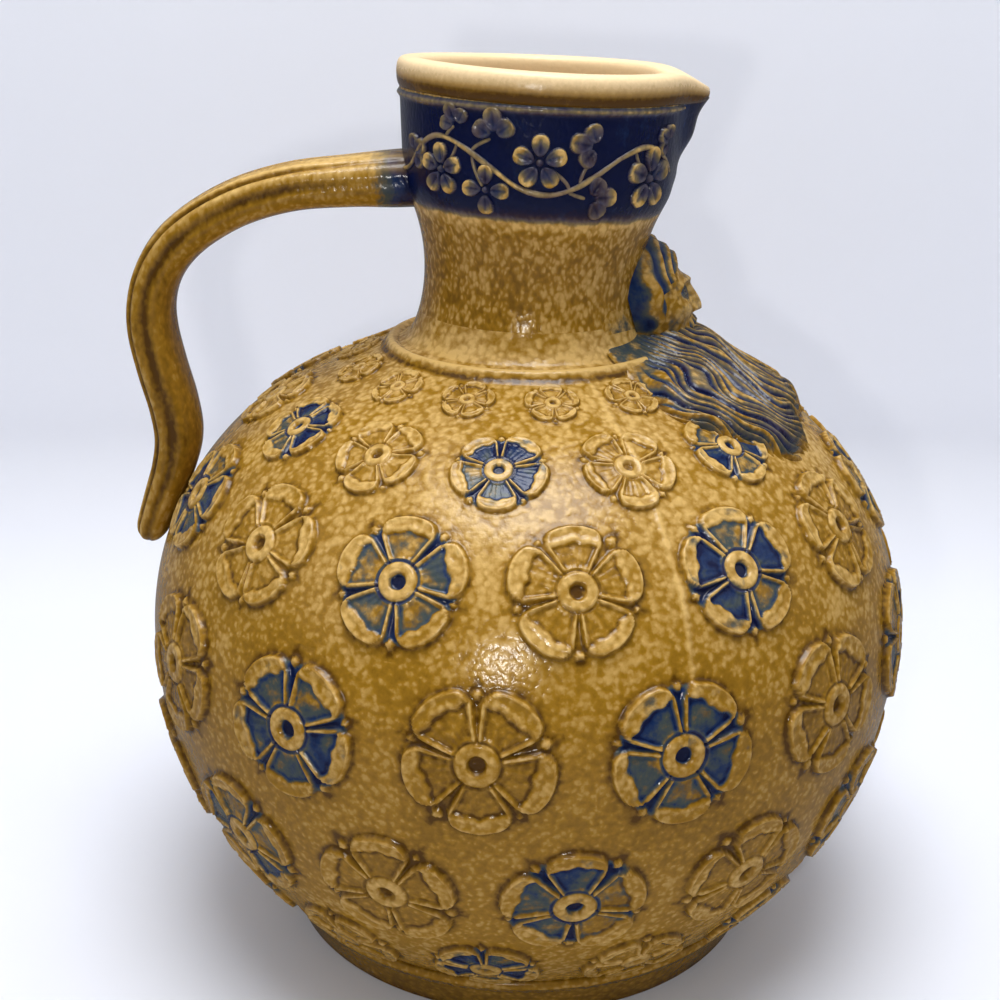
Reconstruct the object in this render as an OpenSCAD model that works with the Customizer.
// Round-bellied salt-glazed stoneware jug: bearded mask, vine frieze, rows of roses and a loop handle.
// Millimetres, +Z up. The origin is the middle of the foot on the table; the spout points along +X.

/* [Belly] */
// Widest radius of the belly
belly_r = 100; // [94:1:108]
// Thickness of the belly's wall
belly_wall = 6; // [4:0.5:8]
// Thickness of the floor
floor_t = 8; // [5:0.5:12]
// Radius of the shoulder's curve, seen from the side
shoulder_r = 72; // [71:0.5:74]
// Slope of the shoulder below the collar, in degrees
shoulder_slope = 21; // [20:0.5:22]

/* [Foot] */
// Outer radius of the foot on the table
foot_r = 66; // [61:1:71]
// Height of the foot ring
foot_h = 14; // [11:0.5:17]
// How far the foot widens from the table to its top edge
foot_flare = 5; // [3:0.5:8]
// Radius of the roll along the foot's top edge
foot_roll = 2.2; // [1.5:0.1:3]

/* [Neck] */
// Radius of the neck where it is narrowest
neck_r = 27.5; // [26:0.5:30]
// Height of the narrowest place above the neck's seat
neck_waist = 15; // [12:0.5:18]
// Radius of the neck's hollow curve, seen from the side
neck_curve = 44; // [38:1:52]
// Height from the neck's seat to the frieze band
band_rise = 37; // [34:0.5:40]
// Height of the frieze band
band_h = 24; // [22:0.5:28]
// How much the frieze band widens from its foot to the rim
band_taper = 1.6; // [0.5:0.1:3]
// Height of the vine's middle line above the foot of the band
band_mid = 10; // [9:0.5:12]
// Thickness of the neck's wall
neck_wall = 5.5; // [4:0.25:7]
// Lean of the neck towards the spout, in degrees
neck_lean = 2.2; // [0:0.1:4]
// Distance of the collar's bead from the axis
collar_r = 35.5; // [34:0.5:37]
// Radius of the bead itself
collar_bead = 2; // [1.5:0.1:2.5]
// Height of the collar's slope up the neck
collar_rise = 7; // [4:0.5:9]

/* [Rim] */
// Height of the rolled rim
rim_h = 6.2; // [5:0.1:8]
// Width of the rim's wall
rim_w = 6.2; // [5:0.1:7.5]
// How far the rim stands out from the frieze band
rim_lip = 0.8; // [0.3:0.1:2]
// How far the roll swells past the rim's wall
rim_swell = 0.4; // [0.2:0.1:0.8]

/* [Spout] */
// How far the spout reaches out past the rim
spout_reach = 6; // [4:0.5:10]
// Width of the spout where it leaves the rim
spout_w = 24; // [20:1:30]
// Length of the spout's ridge down the frieze
spout_drop = 22; // [16:1:24]
// Radius of the spout's tip
spout_tip = 2.6; // [2:0.1:4]
// Thickness of the spout's walls
spout_wall = 2; // [1.5:0.25:3]
// Depth of the pouring channel below the rim's top
spout_channel = 3.6; // [2:0.2:5]

/* [Handle] */
// Thickness of the handle
handle_t = 11.5; // [10:0.5:13]
// Width of the handle
handle_w = 19; // [15:0.5:23]
// Depth of the grooves along the handle
handle_groove = 0.9; // [0.3:0.1:1.4]
// Height of the handle's middle above the neck's seat, where it leaves the frieze
handle_rise = 40; // [38:0.5:44]
// Radius of the handle's long upper curve
handle_top_r = 110; // [95:1:120]
// Turn of the upper curve, in degrees
handle_top_turn = 19; // [16:1:20]
// Radius of the handle's elbow
handle_elbow_r = 32; // [29:0.5:34]
// Turn of the elbow, in degrees
handle_elbow_turn = 85; // [80:1:88]
// Radius of the bend back onto the shoulder
handle_back_r = 22; // [18:0.5:26]
// Place of the tail's start above the widest line, along the surface
tail_place = 40; // [37:0.5:43]
// Length of the tail along the belly
tail_len = 17; // [12:0.5:22]
// Height of the tail's middle above the belly
tail_lift = 4.8; // [4:0.1:5.5]

/* [Mask] */
// Radius of the mask's forehead
mask_r = 15; // [13:0.5:17]
// Radius of the mask's cheeks and jaw
jaw_r = 12.5; // [11:0.5:14]
// Height of the eyes above the neck's seat
mask_rise = 11; // [9:0.5:13]
// How far the jaw lies below the forehead
jaw_drop = 9; // [7:0.5:11]
// How far the jaw stands out past the forehead
jaw_out = 3; // [1:0.5:4]
// How far the face stands out from the neck
mask_out = 12; // [10:0.5:15]
// Radius of the nose
nose_r = 2.4; // [2:0.1:3]
// Length of the nose below the eyes
nose_len = 6; // [5:0.5:8]
// Radius of an eye
eye_r = 2.1; // [1.6:0.1:2.6]
// Distance of an eye from the middle
eye_y = 5; // [4:0.5:6]
// Radius of the lower lip and the brows
lip_r = 1.4; // [1:0.1:2]
// Width of the lower lip
lip_w = 7; // [5:0.5:9]
// Radius of the curls of hair
curl_r = 4; // [3:0.25:5]
// Number of curls from ear to ear
curls = 9; // [7:2:11]
// Turn of the hair from ear to ear, in degrees
hair_turn = 190; // [170:5:210]

/* [Beard] */
// Half the beard's spread round the shoulder, in degrees
beard_spread = 42; // [38:1:45]
// Number of strands
strands = 11; // [9:2:13]
// Share of its room that a strand fills, in percent
strand_fill = 82; // [70:1:90]
// Sideways sway of a strand, in degrees
strand_sway = 5; // [2:0.5:8]
// Length of the middle strand
strand_long = 42; // [36:1:46]
// Length of the outermost strands
strand_short = 18; // [15:1:21]
// Height of the strands above the shoulder
beard_relief = 4.5; // [3:0.1:6]
// Height of the pad between the strands
beard_pad = 2; // [1.2:0.1:2.6]
// Share of a strand that the pad reaches down, in percent
pad_share = 80; // [70:1:90]

/* [Frieze] */
// Height of the vine's relief
vine_relief = 1.4; // [0.8:0.1:2]
// Width of the vine's stem
stem_w = 2; // [1.4:0.1:2.8]
// Length of one wave of the stem, in degrees round the neck
wave_turn = 103; // [98:1:108]
// Angle from the spout to the stem's first low point, in degrees
wave_first = 86; // [82:1:90]
// Height of the stem's waves, from low point to crest
wave_h = 13; // [11:0.5:15]
// Radius of a flower
flower_r = 5.2; // [4.4:0.1:5.6]
// Distance of a flower from the stem's low point or crest
flower_lift = 7.2; // [6.8:0.1:8]
// Length of a leaf
leaf_len = 9; // [7:0.5:10]
// Width of a leaf
leaf_w = 4.6; // [3.6:0.1:5.4]
// Distance of a leaf's middle from the stem
leaf_off = 5; // [4.6:0.1:6]
// Tilt of a leaf to the band, in degrees
leaf_tilt = 40; // [32:1:48]

/* [Roses] */
// Roses in a full row
roses = 14; // [12:1:14]
// Height of a rose's edges above the belly
rose_relief = 2; // [1.6:0.1:2.8]
// Height of the petals' hollows above the belly
petal_relief = 1; // [0.6:0.1:1.3]
// Angle from the spout to the first rose of rows 1, 3 and 5
rose_first = -84.5; // [-90:0.5:-80]
// Row 1, nearest the neck: place above the widest line along the surface
row_1_place = 96.5; // [94:0.5:97]
// Row 1: diameter of its roses
row_1_d = 13; // [10:0.5:14]
// Row 2: place above the widest line
row_2_place = 74; // [72:0.5:75]
// Row 2: diameter of its roses
row_2_d = 22; // [18:0.5:23]
// Row 3: place above the widest line
row_3_place = 45; // [43:0.5:46]
// Row 3: diameter of its roses
row_3_d = 30; // [25:0.5:31]
// Row 4: place above the widest line
row_4_place = 8; // [6:0.5:10]
// Row 4: diameter of its roses
row_4_d = 34; // [28:0.5:36]
// Row 5: height above row 6 along the surface
row_5_step = 31.5; // [31:0.5:33]
// Row 5: diameter of its roses
row_5_d = 34; // [28:0.5:35]
// Row 6, nearest the foot: gap between its roses and the foot ring
row_6_gap = 3; // [2.5:0.5:5]
// Row 6: diameter of its roses
row_6_d = 26; // [22:0.5:26.5]

/* [Hidden] */
$fn = 96;

honey = [0.64, 0.46, 0.24];
buff = [0.85, 0.72, 0.50];
cobalt = [0.10, 0.16, 0.42];

// The belly's side view: a globe below the widest line, a tighter curve above it and a cone to the neck
foot_top_r = foot_r + foot_flare;
belly_z = foot_h + sqrt(pow(belly_r, 2) - pow(foot_top_r, 2));
shoulder_c = belly_r - shoulder_r;
shoulder_end_r = shoulder_c + shoulder_r * sin(shoulder_slope);
shoulder_end_z = belly_z + shoulder_r * cos(shoulder_slope);
shoulder_arc = shoulder_r * (90 - shoulder_slope) * PI / 180;
// The cone below the neck is a little steeper than the end of the curve it leaves
cone_kick = 3;
cone_slope = shoulder_slope + cone_kick;
function cone_z(r) = shoulder_end_z + (shoulder_end_r - r) * tan(cone_slope);

// The neck's side view, from its seat on the shoulder
neck_c = neck_r + neck_curve;
neck_seat_r = neck_c - sqrt(pow(neck_curve, 2) - pow(neck_waist, 2));
neck_z = cone_z(neck_seat_r);
waist_z = neck_z + neck_waist;
band_z = neck_z + band_rise;
band_r = neck_c - sqrt(pow(neck_curve, 2) - pow(band_rise - neck_waist, 2));
rim_z = band_z + band_h;
rim_r = band_r + band_taper;
rim_out = rim_r + rim_lip;
rim_in = rim_out - rim_w;
neck_bore = neck_r - neck_wall;
top_z = rim_z + rim_h;
spout_z = top_z - rim_w / 4;
skirt = neck_seat_r * sin(neck_lean) + rim_swell;
reach = 3 * belly_r;

// A place on the belly, s millimetres above the widest line along the surface
function on_cone(s) = s > shoulder_arc;
function lat(s) = s < 0 ? s / belly_r * 180 / PI
    : on_cone(s) ? 90 - cone_slope : s / shoulder_r * 180 / PI;
function place_r(s) = s < 0 ? belly_r * cos(lat(s))
    : on_cone(s) ? shoulder_end_r - (s - shoulder_arc) * cos(cone_slope)
    : shoulder_c + shoulder_r * cos(lat(s));
function place_z(s) = s < 0 ? belly_z + belly_r * sin(lat(s))
    : on_cone(s) ? shoulder_end_z + (s - shoulder_arc) * sin(cone_slope)
    : belly_z + shoulder_r * sin(lat(s));

// The handle's route in the plane of the spout, as headings below the outward direction
elbow_end = handle_top_turn + handle_elbow_turn;
tail_heading = 90 - lat(tail_place);
tail_x = -place_r(tail_place) - tail_lift * cos(lat(tail_place));
tail_z = place_z(tail_place) + tail_lift * sin(lat(tail_place));
handle_z = neck_z + handle_rise;
top_dx = handle_top_r * sin(handle_top_turn);
top_dz = handle_top_r * (1 - cos(handle_top_turn));
elbow_dx = handle_elbow_r * (sin(elbow_end) - sin(handle_top_turn));
elbow_dz = handle_elbow_r * (cos(handle_top_turn) - cos(elbow_end));
back_dx = handle_back_r * (sin(elbow_end) - sin(tail_heading));
back_dz = handle_back_r * (cos(tail_heading) - cos(elbow_end));
leg_len = (handle_z - top_dz - elbow_dz - back_dz - tail_z) / sin(elbow_end);
handle_start_x = tail_x + back_dx + leg_len * cos(elbow_end) + elbow_dx + top_dx;
handle_room = asin((handle_w / 2 + vine_relief) / band_r);

// The mask's centre line and the beard's upper end
mask_z = neck_z + mask_rise;
mask_x = neck_r + mask_out - mask_r;
face_x = mask_x + mask_r;
jaw_z = mask_z - jaw_drop;
jaw_x = face_x + jaw_out - jaw_r;
brow_lift = 1.5;
brow_reach = 1.6;
bead_share = 1.5;
beard_place = shoulder_arc + (shoulder_end_r - collar_r) / cos(cone_slope);
function strand_len(turn) = strand_short + (strand_long - strand_short) * (1 - pow(turn / beard_spread, 2));

// Overlap of neighbouring arcs, in degrees
wave_lap = 6;
// The stem's waves: half the width of one arc on the band, its radius and its sweep
wave_half = band_r * sin(wave_turn / 4);
wave_arc = (pow(wave_half, 2) + pow(wave_h / 2, 2)) / wave_h;
wave_sweep = 2 * asin(wave_half / wave_arc) + wave_lap;
spout_room = asin((spout_w / 2 + vine_relief) / band_r);
leaf_shift = wave_turn / 16;

// Rows of roses: place, diameter and which roses of the row are blue
foot_place = -belly_r * acos(foot_top_r / belly_r) * PI / 180;
row_6_place = foot_place + row_6_gap + row_6_d / 2;
row_5_place = row_6_place + row_5_step;
row_place = [row_1_place, row_2_place, row_3_place, row_4_place, row_5_place, row_6_place];
row_d = [row_1_d, row_2_d, row_3_d, row_4_d, row_5_d, row_6_d];
row_blue = [0, 0, 1, 1, 0, 0];
rose_step = 360 / roses;
petals = 5;
rose_core = 0.42;
rose_eye = 0.14;
petal_place = 0.645;
petal_size = 0.355;
petal_edge = 0.1;
petal_step = 360 / petals;
function rose_turn(row, k) = rose_first + (k - row % 2 / 2) * rose_step;
function wrap(turn) = turn - 360 * round(turn / 360);

// The two edges of a strand, a pointed lock that sways away from the middle
strand_half = beard_spread / (strands - 1) * strand_fill / 100;
strand_cuts = 5;
function strand_turn(i) = (i / (strands - 1) * 2 - 1) * beard_spread;
function edge_place(i, t) = beard_place - strand_len(strand_turn(i)) * t;
function edge_turn(i, t, edge) = strand_turn(i) + sign(strand_turn(i)) * strand_sway * sin(180 * t)
    + edge * strand_half * (1 - pow(t, 3));

// A rose is left out where the beard or the handle's tail would cover a part of it
function beard_gap(s, turn) = min([for (i = [0:strands - 1], t = [0:0.5 / strand_cuts:1], edge = [-1, 1])
    norm([edge_place(i, t) - s, (edge_turn(i, t, edge) - turn) * PI / 180 * place_r(s)])]);
function under_tail(s, turn, d) = s > tail_place - tail_len - handle_t / 2 - d / 2
    && s < tail_place + handle_back_r
    && (180 - abs(turn)) * PI / 180 * place_r(s) < handle_w / 2 + d / 2;
function kept(row, k) = let (turn = wrap(rose_turn(row, k)))
    beard_gap(row_place[row], turn) > row_d[row] / 2 && !under_tail(row_place[row], turn, row_d[row]);

// Half of the belly's outline, grown outwards
module belly_half(grow) {
    intersection() {
        translate([0, belly_z]) circle(belly_r + grow);
        square([reach, belly_z]);
    }
    past_end = shoulder_slope - cone_kick;
    intersection() {
        translate([shoulder_c, belly_z]) circle(shoulder_r + grow);
        translate([shoulder_c, belly_z]) polygon([[0, 0], [reach, 0], [reach, reach],
            reach * [sin(past_end), cos(past_end)]]);
    }
    lap = shoulder_r * sin(cone_kick);
    edge_r = shoulder_end_r + grow * sin(cone_slope) + lap * cos(cone_slope);
    edge_z = shoulder_end_z + grow * cos(cone_slope) - lap * sin(cone_slope);
    polygon([[0, belly_z], [shoulder_c + shoulder_r / 2, belly_z], [edge_r, edge_z],
        [0, edge_z + edge_r * tan(cone_slope)]]);
}

module belly_form(grow) {
    rotate_extrude() belly_half(grow);
}

// A skin of even thickness on the belly
module belly_skin(thick) {
    rotate_extrude() difference() {
        belly_half(thick);
        belly_half(0);
    }
}

// Half of the neck's outline below the rim: a straight wall with the throat's hollow curve cut out of it
module neck_half() {
    low_z = neck_z - skirt;
    wall_r = rim_r - band_taper * (rim_z - waist_z) / band_h;
    difference() {
        polygon([[0, low_z], [neck_c, low_z], [wall_r, waist_z], [rim_r, rim_z], [0, rim_z]]);
        translate([neck_c, waist_z]) circle(neck_curve);
    }
}

// Leans the neck and what it carries towards the spout
module leaning() {
    translate([0, 0, neck_z]) rotate([0, neck_lean, 0]) translate([0, 0, -neck_z]) children();
}

module neck_form() {
    leaning() rotate_extrude() neck_half();
}

// Puts a flat shape on the belly, its upper side up the belly
module on_belly(s, turn) {
    rotate(turn) translate([place_r(s), 0, place_z(s)])
        rotate([0, 90 - lat(s), 0]) rotate(90) children();
}

// Puts a flat shape on the frieze band, at a height above the band's foot
module on_band(rise, turn) {
    rotate(turn) translate([band_r, 0, band_z + rise]) rotate([0, 90, 0]) rotate(90) children();
}

module belly() color(honey) rotate_extrude() difference() {
    belly_half(0);
    difference() {
        belly_half(-belly_wall);
        square([reach, floor_t]);
    }
    translate([0, neck_z]) square(reach);
    translate([0, belly_z]) square([neck_bore, reach]);
}

module foot_ring() color(honey) rotate_extrude() difference() {
    union() {
        polygon([[foot_r / 2, 0], [foot_r, 0], [foot_top_r, foot_h - foot_roll],
            [foot_r / 2, foot_h - foot_roll]]);
        translate([foot_top_r - foot_roll / 2, foot_h - foot_roll]) circle(foot_roll);
    }
    belly_half(0);
}

module neck() color(honey) difference() {
    neck_form();
    leaning() rotate_extrude() polygon([[0, neck_z - skirt], [neck_bore, neck_z - skirt],
        [neck_bore, waist_z], [rim_in, rim_z], [0, rim_z]]);
    translate([0, 0, neck_z - reach]) cylinder(r = reach, h = reach);
}

// Half of the collar's outline, its bead and its slope up the neck
module collar_half() {
    translate([collar_r, cone_z(collar_r)]) circle(collar_bead);
    polygon([[neck_bore, shoulder_end_z], [collar_r, shoulder_end_z], [collar_r, cone_z(collar_r)],
        [neck_r, neck_z + collar_rise], [neck_bore, neck_z + collar_rise]]);
}

module collar_form() {
    rotate_extrude() collar_half();
}

module neck_collar() color(honey) difference() {
    collar_form();
    neck_form();
    belly_form(0);
}

// The rim's section, a wall with a swelling roll on top
module rim_half() {
    translate([rim_in, rim_z]) square([rim_w, rim_h - rim_w / 2]);
    intersection() {
        translate([rim_out - rim_w / 2, top_z - rim_w / 2 - rim_swell]) circle(rim_w / 2 + rim_swell);
        translate([0, rim_z]) square(reach);
    }
}

// The spout's plan, a rounded beak
module spout_plan(inset) {
    tip_x = rim_out + spout_reach - spout_tip - inset;
    half = spout_w / 2 - inset;
    tip = spout_tip - inset / 2;
    polygon([[0, -half], [band_r, -half], [tip_x, -tip], [tip_x, tip], [band_r, half], [0, half]]);
    translate([tip_x, 0]) circle(tip);
}

// The channel that the spout pours through, open to the inside of the rim
module channel_form() {
    translate([0, 0, top_z - spout_channel]) linear_extrude(2 * spout_channel) difference() {
        spout_plan(spout_wall);
        circle(rim_in - rim_w);
    }
}

module rim() color(buff) leaning() difference() {
    rotate_extrude() rim_half();
    channel_form();
}

module spout() color(buff) leaning() difference() {
    intersection() {
        translate([0, 0, spout_z - spout_drop]) linear_extrude(spout_drop) spout_plan(0);
        rotate([90, 0, 0]) linear_extrude(2 * spout_w, center = true)
            polygon([[0, spout_z - spout_drop], [band_r, spout_z - spout_drop],
                [rim_out + spout_reach, spout_z - spout_channel],
                [rim_out + spout_reach, spout_z], [0, spout_z]]);
    }
    rotate_extrude() {
        neck_half();
        rim_half();
        translate([0, rim_z]) square([rim_out - rim_w / 2, reach]);
    }
    channel_form();
}

// The handle's route as places in the plane of the spout, each with its heading and a share of the section
function top_stop(turn) = [handle_start_x - handle_top_r * sin(turn),
    handle_z - handle_top_r * (1 - cos(turn)), turn, 1];
function elbow_stop(turn) = [
    handle_start_x - top_dx - handle_elbow_r * (sin(turn) - sin(handle_top_turn)),
    handle_z - top_dz - handle_elbow_r * (cos(handle_top_turn) - cos(turn)), turn, 1];
function back_stop(turn) = [tail_x + handle_back_r * (sin(turn) - sin(tail_heading)),
    tail_z - handle_back_r * (cos(turn) - cos(tail_heading)), turn, 1];
function tail_stop(turn) = [-shoulder_c - (shoulder_r + tail_lift) * sin(turn),
    belly_z + (shoulder_r + tail_lift) * cos(turn), turn, 1];
function end_stop(a) = let (last = tail_stop(tail_end)) [last[0] - handle_t / 2 * sin(a) * cos(tail_end),
    last[1] - handle_t / 2 * sin(a) * sin(tail_end), tail_end, cos(a)];
tail_end = tail_heading + tail_len / shoulder_r * 180 / PI;
top_cuts = 6;
elbow_cuts = 14;
back_cuts = 8;
tail_cuts = 5;
end_cuts = 5;
end_turn = 86;
handle_route = concat([[-band_r / 2, handle_z, 0, 1]],
    [for (i = [0:top_cuts]) top_stop(handle_top_turn * i / top_cuts)],
    [for (i = [1:elbow_cuts]) elbow_stop(handle_top_turn + handle_elbow_turn * i / elbow_cuts)],
    [for (i = [0:back_cuts]) back_stop(elbow_end + (tail_heading - elbow_end) * i / back_cuts)],
    [for (i = [1:tail_cuts]) tail_stop(tail_heading + (tail_end - tail_heading) * i / tail_cuts)],
    [for (i = [1:end_cuts]) end_stop(end_turn * i / end_cuts)]);

// One ring of points round the handle: a strap with ridges on each face
ring_points = 30;
handle_ridges = 3;
function ridge(a) = sin(a) * (handle_t - handle_groove * (1 - cos(180 * handle_ridges * cos(a)))) / 2;
function ring(stop) = [for (i = [0:ring_points - 1]) let (a = 360 * i / ring_points)
    [stop[0] - sin(stop[2]) * ridge(a) * stop[3], -handle_w / 2 * cos(a) * stop[3],
        stop[1] + cos(stop[2]) * ridge(a) * stop[3]]];

module handle_form() {
    stops = len(handle_route);
    last = (stops - 1) * ring_points;
    sides = [for (k = [0:stops - 2], i = [0:ring_points - 1], half = [0, 1])
        let (a = k * ring_points + i, b = k * ring_points + (i + 1) % ring_points)
        half == 0 ? [a, a + ring_points, b] : [b, a + ring_points, b + ring_points]];
    front = [for (i = [1:ring_points - 2]) [0, i, i + 1]];
    back = [for (i = [1:ring_points - 2]) [last, last + i + 1, last + i]];
    polyhedron([for (stop = handle_route) each ring(stop)], concat(sides, front, back));
}

// The frieze band's straight wall, carried on past the handle's joint
module joint_form() {
    lap = band_taper * handle_t / band_h;
    leaning() translate([0, 0, band_z - handle_t])
        cylinder(r1 = band_r - lap, r2 = rim_r, h = band_h + handle_t);
}

module handle() color(honey) difference() {
    handle_form();
    joint_form();
    belly_form(0);
}

// A row of balls between two points, from one radius to another
module beads(a, b, r1, r2) {
    count = ceil(norm(b - a) / (r1 + r2) * bead_share);
    for (i = [0:count]) translate(a + (b - a) * i / count) sphere(r1 + (r2 - r1) * i / count);
}

// The bare head: forehead and jaw
module mask_base() {
    translate([mask_x, 0, mask_z]) sphere(mask_r);
    translate([jaw_x, 0, jaw_z]) sphere(jaw_r);
}

module mask_face() color(cobalt) difference() {
    union() {
        mask_base();
        beads([face_x - nose_r, 0, mask_z + nose_r],
            [face_x + nose_r / 2, 0, mask_z - nose_len], nose_r / 2, nose_r);
        beads([face_x + lip_r, -lip_w / 2, jaw_z - nose_r],
            [face_x + lip_r, lip_w / 2, jaw_z - nose_r], lip_r, lip_r);
        for (side = [-1, 1]) {
            translate([face_x - nose_r / 2, side * eye_y, mask_z]) sphere(eye_r);
            beads([face_x - lip_r / 2, side * nose_r, mask_z + brow_lift * eye_r],
                [face_x - brow_lift * nose_r, side * brow_reach * eye_y, mask_z + eye_r], lip_r, lip_r / 2);
            beads([face_x + lip_r, side * lip_r, jaw_z + nose_r],
                [jaw_x + lip_r, side * jaw_r, jaw_z + nose_r], nose_r, lip_r);
        }
        for (i = [0:curls - 1]) {
            turn = (i / (curls - 1) - 0.5) * hair_turn;
            translate([mask_x + curl_r, mask_r * sin(turn), mask_z + mask_r * cos(turn)]) sphere(curl_r);
        }
    }
    neck_form();
    belly_form(0);
    collar_form();
}

// The beard is drawn flat on the shoulder under the chin: a place as seen there
beard_lat = lat(beard_place);
function flat(s, turn) = [place_r(s) * sin(turn), sin(beard_lat) * (collar_r - place_r(s) * cos(turn))
    + cos(beard_lat) * (place_z(s) - cone_z(collar_r))];
function strand_end(i, share) = flat(beard_place - strand_len(strand_turn(i)) * share, strand_turn(i));

function strand_edge(i, t, edge) = flat(edge_place(i, t), edge_turn(i, t, edge));

module strands_plan() {
    for (i = [0:strands - 1])
        polygon(concat([for (k = [0:strand_cuts]) strand_edge(i, k / strand_cuts, 1)],
            [for (k = [strand_cuts - 1:-1:0]) strand_edge(i, k / strand_cuts, -1)]));
}

// The beard's outline down to a share of its strands
module pad_plan(share) {
    polygon(concat([flat(beard_place, beard_spread), flat(beard_place, 0), flat(beard_place, -beard_spread)],
        [for (i = [0:strands - 1]) strand_end(i, share)]));
}

// Stands a flat drawing of the beard up through the shoulder
module beard_prism() {
    on_belly(beard_place, 0) linear_extrude(collar_r, center = true) children();
}

module mask_beard() color(cobalt) difference() {
    union() {
        intersection() {
            belly_skin(beard_relief);
            beard_prism() strands_plan();
        }
        intersection() {
            belly_skin(beard_pad);
            beard_prism() pad_plan(pad_share / 100);
        }
    }
    mask_base();
    neck_form();
    collar_form();
}

// Cuts upright shapes to the frieze's relief on both sides, clear of the spout and the handle
module frieze() {
    leaning() for (side = [0, 1]) mirror([0, side, 0]) intersection() {
        rotate(spout_room) rotate_extrude(angle = 180 - spout_room - handle_room)
            polygon([[band_r, band_z], [band_r + vine_relief, band_z],
                [rim_r + vine_relief, rim_z], [rim_r, rim_z]]);
        union() children();
    }
}

// One arc of the stem, a low point or a crest
module stem_arc(turn, crest) {
    lift = crest ? wave_h / 2 - wave_arc : wave_arc - wave_h / 2;
    on_band(band_mid + lift, turn) rotate((crest ? 90 : -90) - wave_sweep / 2)
        translate([0, 0, -2 * vine_relief]) rotate_extrude(angle = wave_sweep)
        translate([wave_arc - stem_w / 2, 0]) square([stem_w, wave_half]);
}

module frieze_stem() color(cobalt) frieze() {
    stem_arc(wave_first, false);
    stem_arc(wave_first + wave_turn / 2, true);
    stem_arc(wave_first - wave_turn / 2, true);
}

// One flower in a wave of the stem, above its low point or below its crest
module flower(turn, lift) {
    on_band(band_mid + lift, turn) linear_extrude(wave_half, center = true) scale(flower_r) rose_plan();
}

module frieze_flowers() color(buff) frieze() {
    flower(wave_first, flower_lift - wave_h / 2);
    flower(wave_first + wave_turn / 2, wave_h / 2 - flower_lift);
    flower(wave_first - wave_turn / 2, wave_h / 2 - flower_lift);
}

// The flat outline of a pointed leaf
module leaf_plan() {
    r = (pow(leaf_len, 2) + pow(leaf_w, 2)) / (4 * leaf_w);
    intersection() {
        translate([0, r - leaf_w / 2]) circle(r);
        translate([0, leaf_w / 2 - r]) circle(r);
    }
}

module frieze_leaves() color(buff) frieze() {
    for (side = [-1, 1], up = [-1, 1])
        on_band(band_mid + up * leaf_off, wave_first + side * (wave_turn / 4 - up * leaf_shift))
            linear_extrude(wave_half, center = true) rotate(side * leaf_tilt) leaf_plan();
}

// The flat outline of a rose of radius 1: five petals and a core
module rose_plan() {
    circle(rose_core);
    for (k = [0:petals - 1])
        rotate(90 + k * petal_step) translate([petal_place, 0]) circle(petal_size);
}

// What is hollowed out of a rose of radius 1: its petals and its eye
module hollow_plan() {
    for (k = [0:petals - 1])
        rotate(90 + k * petal_step) translate([petal_place, 0]) circle(petal_size - petal_edge);
    circle(rose_eye);
}

// Stands a flat shape up at each rose of a row, in one colour
module each_rose(row, blue) {
    for (k = [0:roses - 1])
        if (kept(row, k) && (row == 0 || (k + row_blue[row]) % 2 == blue))
            on_belly(row_place[row], rose_turn(row, k)) rotate(row % 2 * petal_step / 2)
                linear_extrude(row_d[row] / 2, center = true) scale(row_d[row] / 2) children();
}

module roses_of(row, blue) {
    difference() {
        intersection() {
            belly_skin(rose_relief);
            each_rose(row, blue) rose_plan();
        }
        difference() {
            each_rose(row, blue) hollow_plan();
            belly_form(petal_relief);
        }
        if (row == 0) collar_form();
    }
}

module roses_row_1() color(buff) roses_of(0, 0);
module roses_row_2_plain() color(buff) roses_of(1, 1);
module roses_row_2_blue() color(cobalt) roses_of(1, 0);
module roses_row_3_plain() color(buff) roses_of(2, 1);
module roses_row_3_blue() color(cobalt) roses_of(2, 0);
module roses_row_4_plain() color(buff) roses_of(3, 1);
module roses_row_4_blue() color(cobalt) roses_of(3, 0);
module roses_row_5_plain() color(buff) roses_of(4, 1);
module roses_row_5_blue() color(cobalt) roses_of(4, 0);
module roses_row_6_plain() color(buff) roses_of(5, 1);
module roses_row_6_blue() color(cobalt) roses_of(5, 0);

belly();
foot_ring();
neck();
neck_collar();
rim();
spout();
handle();
mask_face();
mask_beard();
frieze_stem();
frieze_flowers();
frieze_leaves();
roses_row_1();
roses_row_2_plain();
roses_row_2_blue();
roses_row_3_plain();
roses_row_3_blue();
roses_row_4_plain();
roses_row_4_blue();
roses_row_5_plain();
roses_row_5_blue();
roses_row_6_plain();
roses_row_6_blue();
